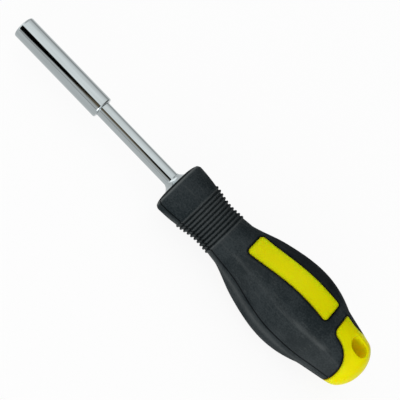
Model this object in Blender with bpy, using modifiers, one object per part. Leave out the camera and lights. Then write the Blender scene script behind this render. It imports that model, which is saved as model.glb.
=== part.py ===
"""Screwdriver handle with a hex bit socket, lying along X with its tip at -X and its top window at +Z.

All sizes are in metres. Stations are measured along the axis from the mouth of the bit socket.
"""
import math

import bmesh
import bpy
from mathutils import Vector

# Bit socket
BIT_FLATS = 0.00635             # hex shank of a quarter-inch bit, across its flats
BIT_PLAY = 0.00005              # between the bit and each flat of the socket
BIT_DEPTH = 0.0140              # mouth to the magnet
MAGNET_LENGTH = 0.0050
RING_WIRE = 0.0007              # diameter of the spring wire
RING_STATION = 0.0055           # mouth to the middle of the ring
RING_OPENING = math.radians(50)
SLEEVE_LENGTH = 0.04426
SLEEVE_WALL = 0.00068           # left outside the groove of the ring
SLEEVE_EDGE = 0.0006            # rounding of both outer edges
MOUTH_BEVEL = 0.00015           # lead-in beyond the corners of the hex

# Shank
SHANK_DIAMETER = 0.0065
SHANK_BARE = 0.04035            # sleeve to the nose of the grip
SHANK_CHAMFER = 0.0006
TANG_LENGTH = 0.0600            # inside the handle
WING_LENGTH = 0.0140
WING_SPAN = 0.0104
WING_THICKNESS = 0.0024
WING_FROM_END = 0.0080
COLLAR_FLARE = 0.00215          # how far the collar stands out round the shank
COLLAR_LENGTH = 0.0022          # length of the flare in front of the nose
COLLAR_LIP = 0.00008            # thickness of its thin front edge
COLLAR_HOLLOW = 1.15            # 1 is a straight cone, more is hollow

# Handle, front to back
NOSE_DIAMETER = 0.0233
NOSE_LENGTH = 0.01168           # front face to the first rib
NOSE_ROUND_LENGTH = 0.0024
NOSE_ROUND_DEPTH = 0.0050
NOSE_END_DIAMETER = 0.0215
RIB_COUNT = 10
RIB_PITCH = 0.00164
RIB_HEIGHT = 0.00075
RIB_SHOULDER = 0.24             # where a rib reaches its shoulder, as a share of the pitch
RIB_SHOULDER_HEIGHT = 0.85      # height there, as a share of the rib height
NECK_DIAMETER = 0.0182          # between the ribs, at the waist
WAIST_PLACE = 0.63              # along the ribbed neck
THROAT_DIAMETER = 0.01926       # behind the ribs
SHOULDER_LENGTH = 0.0181        # behind the ribs to the place where the handle swells most
SHOULDER_FLATS = 0.0247         # across the flats there
SWELL_LENGTH = 0.0371           # behind the ribs to the widest place
BELLY_FLATS = 0.0320            # across the flats at the widest place
BELLY_TAPER_LENGTH = 0.0168     # widest place to the end of the lobes
LOBE_LEAD = 0.0046              # behind the ribs to the start of the lobes
SHOULDER_LOBE_RISE = 0.00255    # how far the corners stand out beyond a round section
BELLY_LOBE_RISE = 0.0020
TAIL_DIAMETER = 0.0285          # where the lobes end
TAIL_LENGTH = 0.01442
BUTT_DIAMETER = 0.02212         # where the dome begins
DOME_HEIGHT = 0.00615
DOME_FULLNESS = 0.47            # 0.5 is an ellipse, less has fuller sides

# Two-shot split between core and grip
GRIP_WALL = 0.0022
WINDOW_WIDTH = 0.0109
WINDOW_WAIST = 0.0004           # how much each side draws in at the middle of its length
WINDOW_LEAD = 0.0093            # behind the ribs to the front end of the window
WINDOW_CORNER = 0.0020
BRIDGE_LENGTH = 0.00505         # grip left between the window and the tail
TAIL_LEAP = 0.00015             # the yellow tail starts this far before the end of the lobes
TONGUE_LENGTH = 0.01235         # side tongues of the grip on the tail
TONGUE_HALF_ANGLE = math.radians(70)
TONGUE_FULLNESS = 2.75          # 2 is an ellipse, more has fuller corners
TONGUE_CORNER = 0.0032          # length of the bend between two tongues and the front edge of the tail

# Hang hole
HOLE_LENGTH = 0.0077
HOLE_WIDTH = 0.0061
HOLE_FROM_END = 0.0090          # middle of the hole to the end of the butt

# Fits
MOULD_GAP = 0.0003              # between moulded faces
PRESS_GAP = 0.0001              # between turned faces

# Faces
TURN_STEPS = 32
SECTION_STEPS = 32
CORNER_STEPS = 6
TONGUE_STEPS = 7                # along each flank of a tongue
BEND_STEPS = 4
WINDOW_STEPS = 9                # along each side of a window
RING_STEPS = 28
FLARE_STEPS = 5
MAGNET_EDGE = 0.0003            # bevel of the magnet
SHARP_ANGLE = math.radians(35)  # edges sharper than this stay sharp in shading

# Slopes of the handle outline, in metres of radius per metre of length
NOSE_FRONT_SLOPE = -0.02
NOSE_SLOPE = -0.17
THROAT_SLOPE = 0.134
SHOULDER_SLOPE = 0.309
TAIL_SLOPE = -0.246
LOBE_FRONT_SLOPE = 0.179
LOBE_SHOULDER_SLOPE = -0.042
LOBE_BACK_SLOPE = -0.207

# Stations and radii that follow from the sizes above
SHANK_RADIUS = SHANK_DIAMETER / 2
SOCKET_INRADIUS = BIT_FLATS / 2 + BIT_PLAY
SOCKET_CORNER = SOCKET_INRADIUS / math.cos(math.pi / 6)
RING_RADIUS = SOCKET_INRADIUS + BIT_PLAY + RING_WIRE / 2
GROOVE_RADIUS = RING_RADIUS + RING_WIRE / 2 + PRESS_GAP
SLEEVE_RADIUS = max(GROOVE_RADIUS, SHANK_RADIUS + PRESS_GAP) + SLEEVE_WALL
SHANK_FRONT = BIT_DEPTH + MAGNET_LENGTH + MOULD_GAP
NOSE_FRONT = SLEEVE_LENGTH + SHANK_BARE
CORE_FRONT = NOSE_FRONT + GRIP_WALL + MOULD_GAP
NOSE_BACK = NOSE_FRONT + NOSE_LENGTH
NECK_LENGTH = RIB_COUNT * RIB_PITCH
NECK_BACK = NOSE_BACK + NECK_LENGTH
SHOULDER = NECK_BACK + SHOULDER_LENGTH
BELLY = NECK_BACK + SWELL_LENGTH
LOBE_FRONT = NECK_BACK + LOBE_LEAD
LOBE_BACK = BELLY + BELLY_TAPER_LENGTH
DOME_FRONT = LOBE_BACK + TAIL_LENGTH
BUTT_END = DOME_FRONT + DOME_HEIGHT
TAIL_SPLIT = LOBE_BACK - TAIL_LEAP
WINDOW_FRONT = NECK_BACK + WINDOW_LEAD
WINDOW_BACK = TAIL_SPLIT - BRIDGE_LENGTH
COLLAR_RADIUS = SHANK_RADIUS + COLLAR_FLARE
WING_MIDDLE = NOSE_FRONT + TANG_LENGTH - WING_FROM_END - WING_LENGTH / 2

# Radius of the flats: station, radius and slope at each place where the outline changes
FLAT_KNOTS = [
    (NOSE_FRONT, NOSE_DIAMETER / 2, NOSE_FRONT_SLOPE),
    (NOSE_BACK, NOSE_END_DIAMETER / 2, NOSE_SLOPE),
    (NOSE_BACK + WAIST_PLACE * NECK_LENGTH, NECK_DIAMETER / 2, 0.0),
    (NECK_BACK, THROAT_DIAMETER / 2, THROAT_SLOPE),
    (SHOULDER, SHOULDER_FLATS / 2, SHOULDER_SLOPE),
    (BELLY, BELLY_FLATS / 2, 0.0),
    (LOBE_BACK, TAIL_DIAMETER / 2, TAIL_SLOPE),
    (DOME_FRONT, BUTT_DIAMETER / 2, TAIL_SLOPE),
]
LOBE_KNOTS = [
    (LOBE_FRONT, 0.0, LOBE_FRONT_SLOPE),
    (SHOULDER, SHOULDER_LOBE_RISE, LOBE_SHOULDER_SLOPE),
    (BELLY, BELLY_LOBE_RISE, 0.0),
    (LOBE_BACK, 0.0, LOBE_BACK_SLOPE),
]


def reset_scene():
    for item in list(bpy.data.objects):
        bpy.data.objects.remove(item, do_unlink=True)
    shown = bpy.data.collections.new("screwdriver_handle")
    cutters = bpy.data.collections.new("cutters")
    for group in (shown, cutters):
        bpy.context.scene.collection.children.link(group)
    return shown, cutters


def material(name, colour, roughness, metallic=0.0):
    made = bpy.data.materials.new(name)
    made.use_nodes = True
    shader = made.node_tree.nodes["Principled BSDF"]
    shader.inputs["Base Color"].default_value = (*colour, 1.0)
    shader.inputs["Roughness"].default_value = roughness
    shader.inputs["Metallic"].default_value = metallic
    return made


def axis_empty(group):
    """Lays the axis of the tool so that the belly stands on the ground and the length is centred."""
    empty = bpy.data.objects.new("tool_axis", None)
    empty.location = (-BUTT_END / 2, 0.0, BELLY_FLATS / 2)
    group.objects.link(empty)
    return empty


def place(data, name, parent, group, finish=None):
    item = bpy.data.objects.new(name, data)
    item.parent = parent
    group.objects.link(item)
    if isinstance(data, bpy.types.Mesh):
        data.shade_smooth()
        data.set_sharp_from_angle(angle=SHARP_ANGLE)
    if finish:
        data.materials.append(finish)
    if group.name == "cutters":
        item.hide_render = True
        item.display_type = 'WIRE'
    return item


def combine(target, tool, operation):
    boolean = target.modifiers.new(f"{operation.lower()} {tool.name}", 'BOOLEAN')
    boolean.solver = 'EXACT'
    boolean.operation = operation
    boolean.object = tool


def turned_mesh(name, outline, closed=False):
    """Profile in the XY plane, from the back of the tool to the front along its outer side."""
    mesh = bpy.data.meshes.new(name)
    edges = [(i, i + 1) for i in range(len(outline) - 1)]
    if closed:
        edges.append((len(outline) - 1, 0))
    mesh.from_pydata([(station, radius, 0.0) for station, radius in outline], edges, [])
    return mesh


def turn(item):
    screw = item.modifiers.new("turn", 'SCREW')
    screw.axis = 'X'
    screw.steps = TURN_STEPS
    screw.render_steps = TURN_STEPS
    screw.use_merge_vertices = True
    screw.merge_threshold = 0.00001
    screw.use_smooth_shade = True


def arc(centre, radius, start, end, steps):
    """Points of an arc in station and radius, angles in degrees from the +X direction."""
    points = []
    for i in range(steps + 1):
        angle = math.radians(start + (end - start) * i / steps)
        points.append((centre[0] + radius * math.cos(angle), centre[1] + radius * math.sin(angle)))
    return points


def drilled_cylinder(name, parent, group, front, back, radius, corners=TURN_STEPS):
    """Cutter along the axis between two stations."""
    mesh = bpy.data.meshes.new(name)
    shape = bmesh.new()
    bmesh.ops.create_cone(shape, cap_ends=True, segments=corners, radius1=radius, radius2=radius,
                          depth=back - front)
    shape.to_mesh(mesh)
    shape.free()
    cutter = place(mesh, name, parent, group)
    cutter.location = ((front + back) / 2, 0.0, 0.0)
    cutter.rotation_euler = (0.0, math.pi / 2, 0.0)
    return cutter


def rounded_outline(length, width, corner, steps=CORNER_STEPS):
    """Rectangle with round corners about the origin, length along X."""
    points = []
    for quarter in range(4):
        along = 1 if quarter in (0, 3) else -1
        across = 1 if quarter < 2 else -1
        centre = (along * (length / 2 - corner), across * (width / 2 - corner))
        points += arc(centre, corner, 90 * quarter, 90 * quarter + 90, steps)
    return points


def plate(name, parent, group, outline, thickness, station):
    """Flat outline in the XY plane, thick along Z and centred on a station of the axis."""
    curve = bpy.data.curves.new(name, 'CURVE')
    curve.dimensions = '2D'
    curve.fill_mode = 'BOTH'
    curve.extrude = thickness / 2
    spline = curve.splines.new('POLY')
    spline.points.add(len(outline) - 1)
    for point, (x, y) in zip(spline.points, outline):
        point.co = (x, y, 0.0, 1.0)
    spline.use_cyclic_u = True
    flat = bpy.data.objects.new(name, curve)
    bpy.context.scene.collection.objects.link(flat)
    bpy.context.view_layer.update()
    mesh = bpy.data.meshes.new_from_object(flat.evaluated_get(bpy.context.evaluated_depsgraph_get()))
    bpy.data.objects.remove(flat)
    shape = bmesh.new()
    shape.from_mesh(mesh)
    bmesh.ops.remove_doubles(shape, verts=shape.verts, dist=0.000001)
    bmesh.ops.recalc_face_normals(shape, faces=shape.faces)
    shape.to_mesh(mesh)
    shape.free()
    item = place(mesh, name, parent, group)
    item.location = (station, 0.0, 0.0)
    return item


def cubic(knots, station):
    """Value of the cubic pieces through knots of station, value and slope."""
    for (s0, v0, m0), (s1, v1, m1) in zip(knots, knots[1:]):
        if station <= s1:
            break
    span = s1 - s0
    t = min(max((station - s0) / span, 0.0), 1.0)
    rest = 1.0 - t
    start = (1.0 + 2.0 * t) * rest * rest * v0 + t * rest * rest * span * m0
    end = t * t * (3.0 - 2.0 * t) * v1 - t * t * rest * span * m1
    return start + end


def flat_radius(station):
    """Radius of the handle over its flats, with the round nose edge and the dome of the butt."""
    if station > DOME_FRONT:
        into_dome = min((station - DOME_FRONT) / DOME_HEIGHT, 1.0)
        cone = BUTT_DIAMETER / 2 + TAIL_SLOPE * (station - DOME_FRONT)
        return cone * (1.0 - into_dome * into_dome) ** DOME_FULLNESS
    radius = cubic(FLAT_KNOTS, station)
    into_edge = 1.0 - (station - NOSE_FRONT) / NOSE_ROUND_LENGTH
    if into_edge > 0.0:
        radius -= NOSE_ROUND_DEPTH * (1.0 - math.sqrt(max(1.0 - into_edge * into_edge, 0.0)))
    return radius


def lobe_rise(station):
    if LOBE_FRONT < station < LOBE_BACK:
        return cubic(LOBE_KNOTS, station)
    return 0.0


def section_radius(station, angle, grow):
    """Round where there is no lobe, and a rounded square where the lobes stand out.

    The exponent of the superellipse is the one whose corners stand out by the lobe rise.
    """
    flat = flat_radius(station)
    exponent = 1.0 / (0.5 - math.log2(1.0 + lobe_rise(station) / flat))
    spread = abs(math.cos(angle)) ** exponent + abs(math.sin(angle)) ** exponent
    return flat * spread ** (-1.0 / exponent) + grow


def section(station, grow=0.0):
    ring = []
    for i in range(SECTION_STEPS):
        angle = 2 * math.pi * i / SECTION_STEPS
        radius = section_radius(station, angle, grow)
        ring.append(Vector((station, radius * math.cos(angle), radius * math.sin(angle))))
    return ring


def loft_mesh(name, rings, front_end, back_end):
    """Closed body through rings of equal length, with a fan of faces to a point on the axis at each end."""
    shape = bmesh.new()
    loops = [[shape.verts.new(point) for point in ring] for ring in rings]
    count = len(rings[0])
    for front, back in zip(loops, loops[1:]):
        for i in range(count):
            j = (i + 1) % count
            shape.faces.new((front[i], front[j], back[j], back[i]))
    for station, loop in ((front_end, loops[0]), (back_end, loops[-1])):
        middle = shape.verts.new((station, 0.0, 0.0))
        for i in range(count):
            shape.faces.new((loop[i], loop[(i + 1) % count], middle))
    bmesh.ops.recalc_face_normals(shape, faces=shape.faces)
    mesh = bpy.data.meshes.new(name)
    shape.to_mesh(mesh)
    shape.free()
    return mesh


def between(front, back, steps):
    return [front + (back - front) * i / steps for i in range(steps)]


def belly_stations():
    swell = between(LOBE_FRONT, SHOULDER, 5) + between(SHOULDER, BELLY, 5) + between(BELLY, LOBE_BACK, 5)
    return between(NECK_BACK, LOBE_FRONT, 2) + swell + between(LOBE_BACK, DOME_FRONT, 3)


def dome_stations():
    return [BUTT_END - DOME_HEIGHT * (1.0 - math.sin(i * math.pi / 12)) for i in range(6)]


def nose_rings():
    """Front face, round edge and smooth barrel in front of the ribs."""
    edge = [NOSE_FRONT + NOSE_ROUND_LENGTH * (1.0 - math.cos(i * math.pi / 10)) for i in range(5)]
    barrel = between(NOSE_FRONT + NOSE_ROUND_LENGTH, NOSE_BACK, 3)
    return [section(station) for station in edge + barrel]


def rib_rings():
    """Each rib rises steeply from a narrow valley and has a broad crest."""
    front = (RIB_SHOULDER, RIB_SHOULDER_HEIGHT)
    back = (1.0 - RIB_SHOULDER, RIB_SHOULDER_HEIGHT)
    shape = [(0.0, 0.0), front, (0.5, 1.0), back]
    rings = []
    for i in range(RIB_COUNT):
        for along, height in shape:
            rings.append(section(NOSE_BACK + (i + along) * RIB_PITCH, height * RIB_HEIGHT))
    return rings


def handle_mesh(name, ribbed):
    """Outside of the whole handle, with or without the ribs that only the grip has."""
    front = nose_rings()
    neck = rib_rings() if ribbed else [section(NOSE_BACK)]
    back = [section(station) for station in belly_stations() + dome_stations()]
    return loft_mesh(name, front + neck + back, NOSE_FRONT, BUTT_END)


def flank_angle(half_angle, along):
    """Angle of the flank of a tongue at a length behind its root."""
    return half_angle * (1.0 - (along / TONGUE_LENGTH) ** TONGUE_FULLNESS) ** (1 / TONGUE_FULLNESS)


def tail_edge(grow):
    """Angle and station along a quarter of the tail edge, from the end of a side tongue to the top."""
    half_angle = TONGUE_HALF_ANGLE - grow / (TAIL_DIAMETER / 2)
    bend_angle = TONGUE_CORNER / (TAIL_DIAMETER / 2)
    split = TAIL_SPLIT - grow
    edge = []
    for i in range(TONGUE_STEPS):
        swing = math.pi / 2 * (i + 0.5) / TONGUE_STEPS
        along = TONGUE_LENGTH * math.cos(swing) ** (2 / TONGUE_FULLNESS)
        if along > TONGUE_CORNER:
            edge.append((flank_angle(half_angle, along), split + along))
    before = half_angle - flank_angle(half_angle, TONGUE_CORNER)
    for i in range(BEND_STEPS + 1):
        t = i / BEND_STEPS
        angle = half_angle - (1.0 - t) ** 2 * before + t * t * bend_angle
        edge.append((angle, split + (1.0 - t) ** 2 * TONGUE_CORNER))
    return edge


def tail_mesh(name, grow):
    """Space of the yellow tail: a wavy cone from a point on the axis through the edge of the grip.

    The edge of the first quarter is mirrored to the others.
    """
    reach = BELLY_FLATS / 2 + SHOULDER_LOBE_RISE + GRIP_WALL
    quarter = tail_edge(grow)
    half = quarter + [(math.pi - angle, station) for angle, station in reversed(quarter)]
    whole = half + [(angle + math.pi, station) for angle, station in half]
    apex = Vector((TAIL_SPLIT + TONGUE_LENGTH / 2, 0.0, 0.0))
    edge, behind = [], []
    for angle, station in whole:
        across = Vector((0.0, math.cos(angle), math.sin(angle)))
        along = (station - apex.x) * reach / section_radius(station, angle, 0.0)
        edge.append(apex + Vector((along, 0.0, 0.0)) + reach * across)
        behind.append(Vector((BUTT_END + reach, 0.0, 0.0)) + reach * across)
    return loft_mesh(name, [edge, behind], apex.x, BUTT_END + reach)


def window_outline(grow):
    """Rounded rectangle whose long sides draw in a little towards the middle."""
    length = WINDOW_BACK - WINDOW_FRONT + 2 * grow
    width = WINDOW_WIDTH + 2 * grow
    half = length / 2
    points = rounded_outline(length, width, WINDOW_CORNER + grow)
    straight = half - WINDOW_CORNER - grow
    stops = [straight * (1.0 - 2.0 * i / WINDOW_STEPS) for i in range(1, WINDOW_STEPS)]
    upper = [(x, width / 2) for x in stops]
    lower = [(-x, -width / 2) for x in stops]
    corner = len(points) // 4
    points = points[:corner] + upper + points[corner:3 * corner] + lower + points[3 * corner:]
    return [(x, y - math.copysign(WINDOW_WAIST * (1.0 - (x / half) ** 2), y)) for x, y in points]


def core_space(name, parent, group, grow):
    """All the room that belongs to the core: inner body, both windows and the tail."""
    deepest = DOME_FRONT + DOME_HEIGHT / 2
    stations = [CORE_FRONT - grow] + between(NOSE_BACK, NECK_BACK, 3) + belly_stations()
    rings = [section(station, grow - GRIP_WALL - MOULD_GAP) for station in stations + [DOME_FRONT, deepest]]
    inner = place(loft_mesh(name, rings, stations[0], deepest), name, parent, group)
    height = 2 * (BELLY_FLATS + SHOULDER_LOBE_RISE)
    middle = (WINDOW_FRONT + WINDOW_BACK) / 2
    combine(inner, plate(f"{name}_windows", parent, group, window_outline(grow), height, middle), 'UNION')
    tail = place(tail_mesh(f"{name}_tail", grow), f"{name}_tail", parent, group)
    combine(inner, tail, 'UNION')
    return inner


def build_core(parent, shown, cutters, finish):
    core = place(handle_mesh("handle_core", False), "handle_core", parent, shown, finish)
    combine(core, core_space("core_room", parent, cutters, 0.0), 'INTERSECT')
    tang_end = NOSE_FRONT + TANG_LENGTH + MOULD_GAP
    bore = drilled_cylinder("tang_bore", parent, cutters, NOSE_FRONT, tang_end, SHANK_RADIUS + MOULD_GAP)
    combine(core, bore, 'DIFFERENCE')
    combine(core, wing_plate("wing_slot", parent, cutters, MOULD_GAP), 'DIFFERENCE')
    outline = rounded_outline(HOLE_LENGTH, HOLE_WIDTH, HOLE_WIDTH / 2)
    hole = plate("hang_hole", parent, cutters, outline, 2 * BELLY_FLATS, BUTT_END - HOLE_FROM_END)
    combine(core, hole, 'DIFFERENCE')


def build_grip(parent, shown, cutters, finish):
    grip = place(handle_mesh("soft_grip", True), "soft_grip", parent, shown, finish)
    combine(grip, core_space("grip_cavity", parent, cutters, MOULD_GAP), 'DIFFERENCE')
    mouth = drilled_cylinder("collar_hole", parent, cutters, NOSE_FRONT - GRIP_WALL,
                             NOSE_FRONT + 2 * GRIP_WALL, COLLAR_RADIUS + MOULD_GAP)
    combine(grip, mouth, 'DIFFERENCE')


def wing_plate(name, parent, group, grow):
    outline = rounded_outline(WING_LENGTH + 2 * grow, WING_SPAN + 2 * grow, WING_SPAN / 4 + grow, 3)
    return plate(name, parent, group, outline, WING_THICKNESS + 2 * grow, WING_MIDDLE)


def build_shank(parent, shown, cutters, finish):
    end = NOSE_FRONT + TANG_LENGTH
    small = SHANK_RADIUS - SHANK_CHAMFER
    outline = [(end, 0.0), (end, small), (end - SHANK_CHAMFER, SHANK_RADIUS),
               (SHANK_FRONT + SHANK_CHAMFER, SHANK_RADIUS), (SHANK_FRONT, small), (SHANK_FRONT, 0.0)]
    shank = place(turned_mesh("shank", outline), "shank", parent, shown, finish)
    turn(shank)
    combine(shank, wing_plate("tang_wings", parent, cutters, 0.0), 'UNION')


def build_collar(parent, shown, finish):
    """Flared ring pressed on the shank, seated on the front of the core."""
    bore = SHANK_RADIUS + PRESS_GAP
    lip = bore + COLLAR_LIP
    seat = CORE_FRONT - MOULD_GAP
    tip = NOSE_FRONT - COLLAR_LENGTH
    flare = []
    for i in range(FLARE_STEPS + 1):
        t = i / FLARE_STEPS
        radius = lip + (COLLAR_RADIUS - lip) * (1.0 - t) ** COLLAR_HOLLOW
        flare.append((NOSE_FRONT - t * COLLAR_LENGTH, radius))
    outline = [(seat, bore), (seat, COLLAR_RADIUS)] + flare + [(tip, bore)]
    collar = place(turned_mesh("shank_collar", outline, True), "shank_collar", parent, shown, finish)
    turn(collar)


def build_sleeve(parent, shown, cutters, finish):
    edge = SLEEVE_RADIUS - SLEEVE_EDGE
    outline = [(SLEEVE_LENGTH, 0.0)]
    outline += arc((SLEEVE_LENGTH - SLEEVE_EDGE, edge), SLEEVE_EDGE, 0, 90, 3)
    outline += arc((SLEEVE_EDGE, edge), SLEEVE_EDGE, 90, 180, 3)
    outline += [(0.0, 0.0)]
    sleeve = place(turned_mesh("bit_sleeve", outline), "bit_sleeve", parent, shown, finish)
    turn(sleeve)
    socket = drilled_cylinder("hex_socket", parent, cutters, -BIT_DEPTH, SHANK_FRONT - MOULD_GAP / 2,
                              SOCKET_CORNER, 6)
    combine(sleeve, socket, 'DIFFERENCE')
    bore = drilled_cylinder("shank_bore", parent, cutters, SHANK_FRONT - MOULD_GAP,
                            SLEEVE_LENGTH + SHANK_DIAMETER, SHANK_RADIUS + PRESS_GAP)
    combine(sleeve, bore, 'DIFFERENCE')
    half = RING_WIRE / 2 + PRESS_GAP
    groove = drilled_cylinder("ring_groove", parent, cutters, RING_STATION - half, RING_STATION + half,
                              GROOVE_RADIUS)
    combine(sleeve, groove, 'DIFFERENCE')
    lead = SOCKET_CORNER + MOUTH_BEVEL
    cone = [(lead, 0.0), (-lead, 2 * lead), (-lead, 0.0)]
    bevel = place(turned_mesh("mouth_bevel", cone), "mouth_bevel", parent, cutters)
    turn(bevel)
    combine(sleeve, bevel, 'DIFFERENCE')


def build_magnet(parent, shown, finish):
    mesh = bpy.data.meshes.new("bit_magnet")
    shape = bmesh.new()
    radius = SOCKET_INRADIUS - MOULD_GAP
    bmesh.ops.create_cone(shape, cap_ends=True, segments=TURN_STEPS, radius1=radius, radius2=radius,
                          depth=MAGNET_LENGTH)
    shape.to_mesh(mesh)
    shape.free()
    magnet = place(mesh, "bit_magnet", parent, shown, finish)
    magnet.location = (BIT_DEPTH + MAGNET_LENGTH / 2, 0.0, 0.0)
    magnet.rotation_euler = (0.0, math.pi / 2, 0.0)
    bevel = magnet.modifiers.new("edges", 'BEVEL')
    bevel.width = MAGNET_EDGE
    bevel.segments = 1
    bevel.limit_method = 'ANGLE'
    bevel.angle_limit = math.radians(40)


def build_ring(parent, shown, finish):
    """Split ring of round wire, open at the bottom."""
    curve = bpy.data.curves.new("bit_ring", 'CURVE')
    curve.dimensions = '3D'
    curve.bevel_depth = RING_WIRE / 2
    curve.bevel_resolution = 1
    curve.use_fill_caps = True
    spline = curve.splines.new('POLY')
    spline.points.add(RING_STEPS)
    for i, point in enumerate(spline.points):
        angle = -math.pi / 2 + RING_OPENING / 2 + (2 * math.pi - RING_OPENING) * i / RING_STEPS
        point.co = (0.0, RING_RADIUS * math.cos(angle), RING_RADIUS * math.sin(angle), 1.0)
    ring = place(curve, "bit_ring", parent, shown, finish)
    ring.location = (RING_STATION, 0.0, 0.0)


def build():
    shown, cutters = reset_scene()
    parent = axis_empty(shown)
    chrome = material("chrome_steel", (0.62, 0.66, 0.67), 0.12, 1.0)
    spring = material("spring_steel", (0.42, 0.42, 0.43), 0.30, 1.0)
    magnet = material("magnet_nickel", (0.50, 0.49, 0.46), 0.35, 1.0)
    yellow = material("yellow_plastic", (0.62, 0.55, 0.004), 0.35)
    rubber = material("black_rubber", (0.020, 0.025, 0.028), 0.55)
    build_sleeve(parent, shown, cutters, chrome)
    build_magnet(parent, shown, magnet)
    build_ring(parent, shown, spring)
    build_shank(parent, shown, cutters, chrome)
    build_collar(parent, shown, chrome)
    build_core(parent, shown, cutters, yellow)
    build_grip(parent, shown, cutters, rubber)


build()
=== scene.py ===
import math

import bmesh
import bpy
import numpy as np
from mathutils import Matrix, Vector
from mathutils.geometry import delaunay_2d_cdt
from mathutils.kdtree import KDTree


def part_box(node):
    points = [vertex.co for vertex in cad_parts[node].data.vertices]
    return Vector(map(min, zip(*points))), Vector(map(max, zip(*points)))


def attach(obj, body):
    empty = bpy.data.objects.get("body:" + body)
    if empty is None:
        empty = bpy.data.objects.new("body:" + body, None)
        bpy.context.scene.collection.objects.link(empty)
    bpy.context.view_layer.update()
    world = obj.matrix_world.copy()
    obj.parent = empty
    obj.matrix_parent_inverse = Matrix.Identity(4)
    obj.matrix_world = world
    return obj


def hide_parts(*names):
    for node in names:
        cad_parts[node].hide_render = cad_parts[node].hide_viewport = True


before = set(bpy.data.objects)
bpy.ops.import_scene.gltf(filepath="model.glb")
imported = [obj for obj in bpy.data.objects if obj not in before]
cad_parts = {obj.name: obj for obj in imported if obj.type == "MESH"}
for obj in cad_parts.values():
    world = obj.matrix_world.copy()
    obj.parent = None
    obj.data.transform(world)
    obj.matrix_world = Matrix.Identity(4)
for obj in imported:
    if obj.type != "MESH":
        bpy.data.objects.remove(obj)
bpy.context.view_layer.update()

scene = bpy.context.scene
scene.view_settings.view_transform = "Standard"
print("frame loaded:", ", ".join(sorted(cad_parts)))


# meshes

def newObject(name, data):
    made = bpy.data.objects.new(name, data)
    scene.collection.objects.link(made)
    return made


def newPiece(name, node, points, faces, material, sharpAngle, marks=None):
    mesh = bpy.data.meshes.new(name)
    mesh.from_pydata([tuple(p) for p in points], [], [tuple(int(i) for i in f) for f in faces])
    for mark, values in (marks or {}).items():
        mesh.attributes.new(mark, "FLOAT", "POINT").data.foreach_set("value", values)
    shape = bmesh.new()
    shape.from_mesh(mesh)
    loose = [v for v in shape.verts if not v.link_faces]
    bmesh.ops.delete(shape, geom=loose, context="VERTS")
    bmesh.ops.recalc_face_normals(shape, faces=shape.faces)
    shape.to_mesh(mesh)
    shape.free()
    mesh.shade_smooth()
    mesh.set_sharp_from_angle(angle=math.radians(sharpAngle))
    mesh.materials.append(material)
    piece = newObject(name, mesh)
    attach(piece, "root")
    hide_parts(node)


def bridge(rows, faces):  # quads between rings of vertex numbers
    for front, back in zip(rows, rows[1:]):
        count = len(front)
        for i in range(count):
            j = (i + 1) % count
            faces.append((front[i], front[j], back[j], back[i]))


def fan(ring, middle, faces):  # closes a ring towards one vertex
    for i in range(len(ring)):
        faces.append((ring[i], ring[(i + 1) % len(ring)], middle))


def ringPoints(x, radius, angles):  # radius may differ from angle to angle
    radius = np.broadcast_to(radius, angles.shape)
    x = np.broadcast_to(x, angles.shape)
    return np.stack([x, radius * np.cos(angles), axisZ + radius * np.sin(angles)], axis=1)


def turned(rows, angles, closed=False):  # rows of (x, radius) to points and faces
    points = np.concatenate([ringPoints(x, radius, angles) for x, radius in rows])
    count = len(angles)
    loops = [list(range(k * count, (k + 1) * count)) for k in range(len(rows))]
    faces = []
    bridge(loops + loops[:1] if closed else loops, faces)
    if not closed:
        ends = [(rows[0][0], 0.0, axisZ), (rows[-1][0], 0.0, axisZ)]
        points = np.concatenate([points, np.array(ends, float)])
        fan(loops[0], len(points) - 2, faces)
        fan(loops[-1], len(points) - 1, faces)
    return points, faces


def arcRows(centreX, centreRadius, size, start, end, steps):
    turn = np.radians(np.linspace(start, end, steps + 1))
    return [(centreX + size * math.cos(a), centreRadius + size * math.sin(a)) for a in turn]


def fullTurn(count):
    return np.arange(count) * 2 * math.pi / count


# materials

def newMaterial(name):
    made = bpy.data.materials.new(name)
    made.use_nodes = True
    made.node_tree.nodes.clear()
    return made, made.node_tree


def addNode(tree, kind, inputs=None, **settings):  # inputs are fixed values or sockets of other nodes
    made = tree.nodes.new(kind)
    for key, value in settings.items():
        setattr(made, key, value)
    for socket, value in (inputs or {}).items():
        if isinstance(value, bpy.types.NodeSocket):
            feed(value, made, socket)
        else:
            made.inputs[socket].default_value = value
    return made


def addAfter(kind, inputs, **settings):  # in the tree of the sockets that feed it
    sources = [value for value in inputs.values() if isinstance(value, bpy.types.NodeSocket)]
    return addNode(sources[0].id_data, kind, inputs, **settings)


def feed(source, target, socket):
    target.id_data.links.new(source, target.inputs[socket])


def newGroup(name, takes, gives):
    tree = bpy.data.node_groups.new(name, "ShaderNodeTree")
    for socket, value in takes.items():
        made = tree.interface.new_socket(socket, in_out="INPUT", socket_type="NodeSocketFloat")
        made.default_value = value
    for socket in gives:
        tree.interface.new_socket(socket, in_out="OUTPUT", socket_type="NodeSocketFloat")
    return tree, addNode(tree, "NodeGroupInput").outputs, addNode(tree, "NodeGroupOutput")


def placeGroup(tree, group, **values):
    return addNode(tree, "ShaderNodeGroup", values, node_tree=group).outputs


def objectPlace(tree):
    return addNode(tree, "ShaderNodeTexCoord").outputs["Object"]


def stretch(place, scale):  # coordinates drawn out along the tool
    return addAfter("ShaderNodeMapping", {"Vector": place, "Scale": scale}).outputs["Vector"]


def noise(place, scale, detail=2.0, roughness=0.5):
    inputs = {"Vector": place, "Scale": scale, "Detail": detail, "Roughness": roughness}
    return addAfter("ShaderNodeTexNoise", inputs).outputs["Fac"]


def spread(value, low, high, outLow=0.0, outHigh=1.0):
    inputs = {"Value": value, "From Min": low, "From Max": high, "To Min": outLow, "To Max": outHigh}
    return addAfter("ShaderNodeMapRange", inputs).outputs["Result"]


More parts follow.
